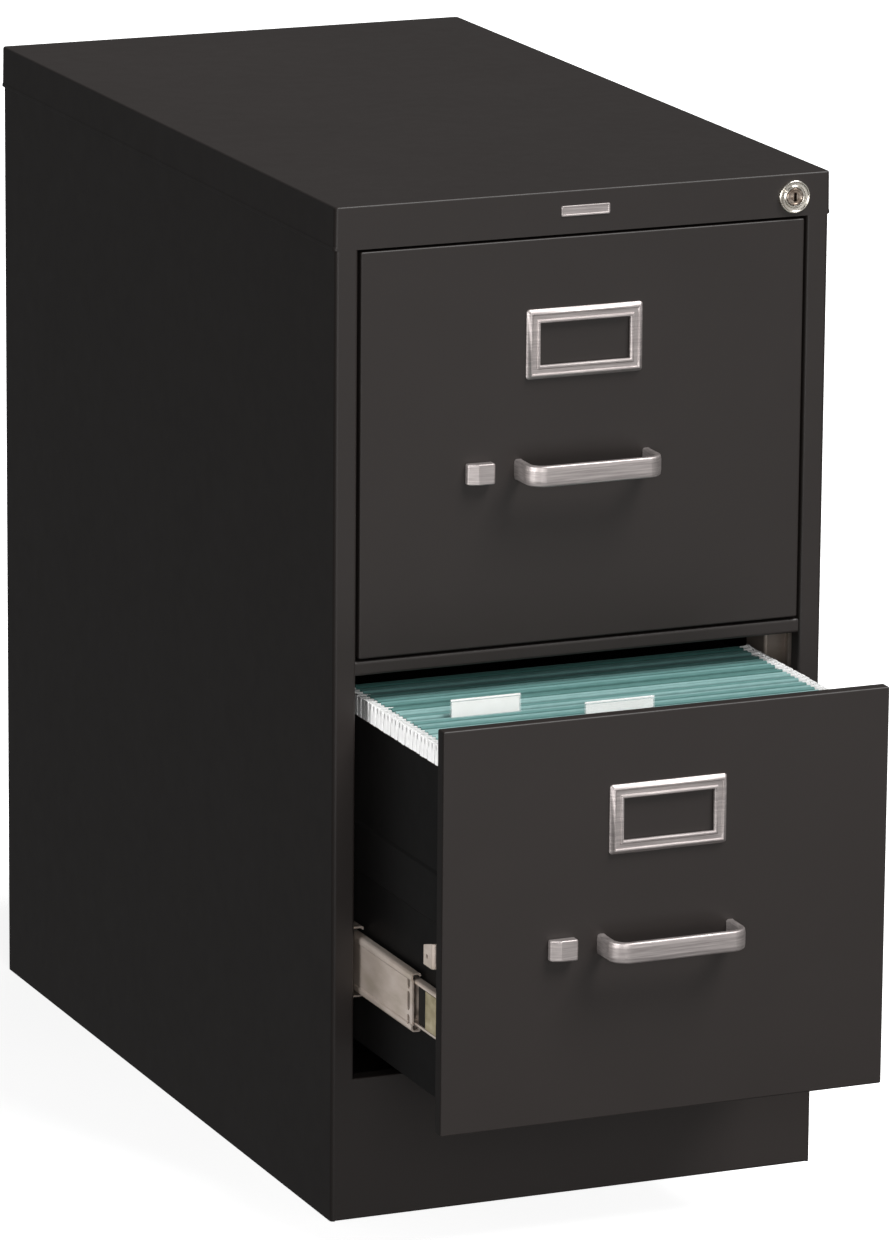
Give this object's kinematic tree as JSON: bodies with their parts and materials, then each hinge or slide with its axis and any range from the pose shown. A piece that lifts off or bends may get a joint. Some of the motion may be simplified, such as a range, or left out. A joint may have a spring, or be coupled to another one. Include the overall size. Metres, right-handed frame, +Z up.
{
  "type": "filing cabinet",
  "caption": "Vertical steel filing cabinet with full-extension drawers on ball slides, strap pulls, thumb latches and a cap lock; the lower drawer stands part open with hanging folders.",
  "frame": {"origin": "on the floor, under the middle of the whole object with the lower drawer standing part open", "axes": "+X to the right of a person facing the drawers, +Y towards the back panel, +Z up"},
  "size_m": [0.381, 0.8554, 0.7366],
  "materials": {
    "charcoal_paint": "fine satin powder coat",
    "drawer_paint": "low-gloss black enamel",
    "satin_nickel": "satin nickel plate",
    "bright_nickel": "bright nickel plate",
    "zinc_steel": "zinc plate with a faint yellow cast",
    "black_plastic": "moulded, matte",
    "teal_paper": "card stock",
    "white_plastic": "moulded hook tips",
    "clear_tab": "white insert in a clear tab"
  },
  "bodies": {
    "cabinet": {"top_cap": "charcoal_paint", "left_side_panel": "charcoal_paint", "right_side_panel": "charcoal_paint", "back_panel": "charcoal_paint", "bottom_panel": "charcoal_paint", "base_front_panel": "charcoal_paint", "middle_rail": "charcoal_paint", "slide_uprights": "zinc_steel", "name_plate": "satin_nickel", "lock_housing": "bright_nickel", "lock_bar_guides": "zinc_steel", "upper_left_cabinet_slide": "zinc_steel", "upper_right_cabinet_slide": "zinc_steel", "lower_left_cabinet_slide": "zinc_steel", "lower_right_cabinet_slide": "zinc_steel"},
    "lock_plug": {"lock_plug": "bright_nickel"},
    "lock_bar": {"lock_bar": "zinc_steel"},
    "upper_drawer": {"upper_front": "charcoal_paint", "upper_front_liner": "drawer_paint", "upper_left_side": "drawer_paint", "upper_right_side": "drawer_paint", "upper_rear": "drawer_paint", "upper_bottom": "drawer_paint", "upper_pull": "satin_nickel", "upper_pull_screws": "zinc_steel", "upper_label_holder": "satin_nickel", "upper_left_drawer_slide": "zinc_steel", "upper_right_drawer_slide": "zinc_steel", "upper_slide_stops": "black_plastic", "upper_latch_spring": "zinc_steel"},
    "upper_left_middle": {"upper_left_middle_slide": "zinc_steel"},
    "upper_right_middle": {"upper_right_middle_slide": "zinc_steel"},
    "upper_outer_cages": {"upper_outer_ball_cages": "black_plastic"},
    "upper_inner_cages": {"upper_inner_ball_cages": "black_plastic"},
    "upper_latch": {"upper_thumb_latch": "satin_nickel", "upper_latch_bar": "zinc_steel"},
    "upper_follower": {"upper_follower": "zinc_steel"},
    "lower_drawer": {"lower_front": "charcoal_paint", "lower_front_liner": "drawer_paint", "lower_left_side": "drawer_paint", "lower_right_side": "drawer_paint", "lower_rear": "drawer_paint", "lower_bottom": "drawer_paint", "lower_pull": "satin_nickel", "lower_pull_screws": "zinc_steel", "lower_label_holder": "satin_nickel", "lower_left_drawer_slide": "zinc_steel", "lower_right_drawer_slide": "zinc_steel", "lower_slide_stops": "black_plastic", "lower_latch_spring": "zinc_steel", "hanging_folders": "teal_paper", "folder_hooks": "white_plastic", "index_tabs": "clear_tab"},
    "lower_left_middle": {"lower_left_middle_slide": "zinc_steel"},
    "lower_right_middle": {"lower_right_middle_slide": "zinc_steel"},
    "lower_outer_cages": {"lower_outer_ball_cages": "black_plastic"},
    "lower_inner_cages": {"lower_inner_ball_cages": "black_plastic"},
    "lower_latch": {"lower_thumb_latch": "satin_nickel", "lower_latch_bar": "zinc_steel"},
    "lower_follower": {"lower_follower": "zinc_steel"}
  },
  "joints": [
    {"name": "upper_drawer_slide", "type": "slide", "parent": "cabinet", "child": "upper_drawer", "axis": [0, -1, 0], "range_m": [0, 0.6]},
    {"name": "upper_left_middle_slide", "type": "slide", "parent": "cabinet", "child": "upper_left_middle", "axis": [0, -1, 0], "range_m": [0, 0.42]},
    {"name": "upper_right_middle_slide", "type": "slide", "parent": "cabinet", "child": "upper_right_middle", "axis": [0, -1, 0], "range_m": [0, 0.42]},
    {"name": "upper_outer_cages_slide", "type": "slide", "parent": "cabinet", "child": "upper_outer_cages", "axis": [0, -1, 0], "range_m": [0, 0.21]},
    {"name": "upper_inner_cages_slide", "type": "slide", "parent": "cabinet", "child": "upper_inner_cages", "axis": [0, -1, 0], "range_m": [0, 0.51]},
    {"name": "upper_latch_slide", "type": "slide", "parent": "upper_drawer", "child": "upper_latch", "axis": [1, 0, 0], "range_m": [0, 0.007], "stiffness_N_per_m": 300, "springref_m": -0.008, "deforming": ["upper_latch_spring"]},
    {"name": "upper_follower_slide", "type": "slide", "parent": "upper_drawer", "child": "upper_follower", "axis": [0, 1, 0], "range_m": [-0.45, 0.05]},
    {"name": "lower_drawer_slide", "type": "slide", "parent": "cabinet", "child": "lower_drawer", "axis": [0, -1, 0], "range_m": [-0.1524, 0.4476]},
    {"name": "lower_left_middle_slide", "type": "slide", "parent": "cabinet", "child": "lower_left_middle", "axis": [0, -1, 0], "range_m": [-0.10668, 0.31332]},
    {"name": "lower_right_middle_slide", "type": "slide", "parent": "cabinet", "child": "lower_right_middle", "axis": [0, -1, 0], "range_m": [-0.10668, 0.31332]},
    {"name": "lower_outer_cages_slide", "type": "slide", "parent": "cabinet", "child": "lower_outer_cages", "axis": [0, -1, 0], "range_m": [-0.05334, 0.15666]},
    {"name": "lower_inner_cages_slide", "type": "slide", "parent": "cabinet", "child": "lower_inner_cages", "axis": [0, -1, 0], "range_m": [-0.12954, 0.38046]},
    {"name": "lower_latch_slide", "type": "slide", "parent": "lower_drawer", "child": "lower_latch", "axis": [1, 0, 0], "range_m": [0, 0.007], "stiffness_N_per_m": 300, "springref_m": -0.008, "deforming": ["lower_latch_spring"]},
    {"name": "lower_follower_slide", "type": "slide", "parent": "lower_drawer", "child": "lower_follower", "axis": [0, 1, 0], "range_m": [-0.085, 0.25]},
    {"name": "lock_bar_slide", "type": "slide", "parent": "cabinet", "child": "lock_bar", "axis": [0, 0, 1], "range_m": [0, 0.01273]},
    {"name": "lock_plug_turn", "type": "hinge", "parent": "cabinet", "child": "lock_plug", "pos_m": [0.1613, -0.2453, 0.7199], "axis": [0, -1, 0], "range_deg": [0, 90]}
  ],
  "couplings": [
    {"joint": "upper_left_middle_slide", "follows": "upper_drawer_slide", "ratio": 0.7},
    {"joint": "upper_right_middle_slide", "follows": "upper_drawer_slide", "ratio": 0.7},
    {"joint": "upper_outer_cages_slide", "follows": "upper_drawer_slide", "ratio": 0.35},
    {"joint": "upper_inner_cages_slide", "follows": "upper_drawer_slide", "ratio": 0.85},
    {"joint": "lower_left_middle_slide", "follows": "lower_drawer_slide", "ratio": 0.7},
    {"joint": "lower_right_middle_slide", "follows": "lower_drawer_slide", "ratio": 0.7},
    {"joint": "lower_outer_cages_slide", "follows": "lower_drawer_slide", "ratio": 0.35},
    {"joint": "lower_inner_cages_slide", "follows": "lower_drawer_slide", "ratio": 0.85},
    {"joint": "lock_plug_turn", "follows": "lock_bar_slide", "rad_per_m": 123.4}
  ]
}
